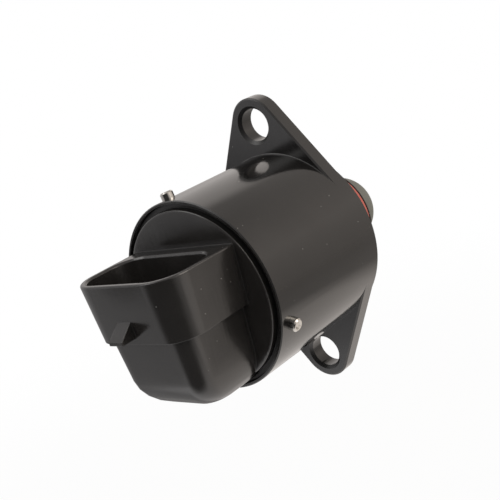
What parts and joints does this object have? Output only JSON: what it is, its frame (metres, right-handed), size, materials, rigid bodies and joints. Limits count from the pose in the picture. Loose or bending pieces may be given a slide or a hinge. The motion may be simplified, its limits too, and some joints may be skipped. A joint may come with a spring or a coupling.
{
  "type": "idle air control valve",
  "caption": "Flanged black stepper-motor valve with a plug socket on its rear cap, an O-ring pilot and a bullet-nosed pintle that a lead screw moves in and out.",
  "frame": {"origin": "centre of the flange's mounting face, midway between the two bolt holes", "axes": "+Y along the valve's axis out of the mounting face, towards the pintle; +Z towards the ear on the plug's side; +X to the right seen from the connector end"},
  "size_m": [0.0363, 0.0692, 0.0582],
  "materials": {
    "housing_paint": "satin black coating",
    "cap_plastic": "moulded satin black",
    "seal_rubber": "matt",
    "pin_steel": "bright",
    "o_ring_rubber": "satin",
    "stator_steel": "plated",
    "bobbin_plastic": "moulded",
    "winding_copper": "enamelled wire",
    "magnet_ferrite": "sintered",
    "hub_plastic": "moulded",
    "bearing_steel": "ground",
    "bush_bronze": "sintered",
    "screw_steel": "rolled",
    "guide_plastic": "moulded",
    "spring_steel": "drawn wire",
    "pintle_plastic": "matt grey",
    "terminal_brass": "tin plated"
  },
  "bodies": {
    "housing": {"housing": "housing_paint", "rear_cap": "cap_plastic", "cap_seal": "seal_rubber", "retaining_pins": "pin_steel", "o_ring": "o_ring_rubber", "front_stator_cup": "stator_steel", "front_pole_plate": "stator_steel", "front_bobbin": "bobbin_plastic", "front_winding": "winding_copper", "rear_stator_cup": "stator_steel", "rear_pole_plate": "stator_steel", "rear_bobbin": "bobbin_plastic", "rear_winding": "winding_copper", "bearing_outer_race": "bearing_steel", "bearing_balls": "bearing_steel", "rear_bush": "bush_bronze", "thrust_washer": "stator_steel", "screw_guide": "guide_plastic", "pintle_spring": "spring_steel", "terminal_1": "terminal_brass", "terminal_2": "terminal_brass", "terminal_3": "terminal_brass", "terminal_4": "terminal_brass"},
    "rotor": {"rotor_magnet": "magnet_ferrite", "rotor_hub": "hub_plastic", "bearing_inner_race": "bearing_steel"},
    "pintle": {"pintle": "pintle_plastic", "lead_screw": "screw_steel"}
  },
  "joints": [
    {"name": "rotor_spin", "type": "hinge", "parent": "housing", "child": "rotor", "pos_m": [0, 0, 0], "axis": [0, 1, 0], "range_deg": [-2880, 360]},
    {"name": "pintle_slide", "type": "slide", "parent": "housing", "child": "pintle", "axis": [0, 1, 0], "range_m": [-0.001, 0.008], "deforming": ["pintle_spring"]}
  ],
  "couplings": [
    {"joint": "pintle_slide", "follows": "rotor_spin", "m_per_rad": -0.00015915}
  ]
}
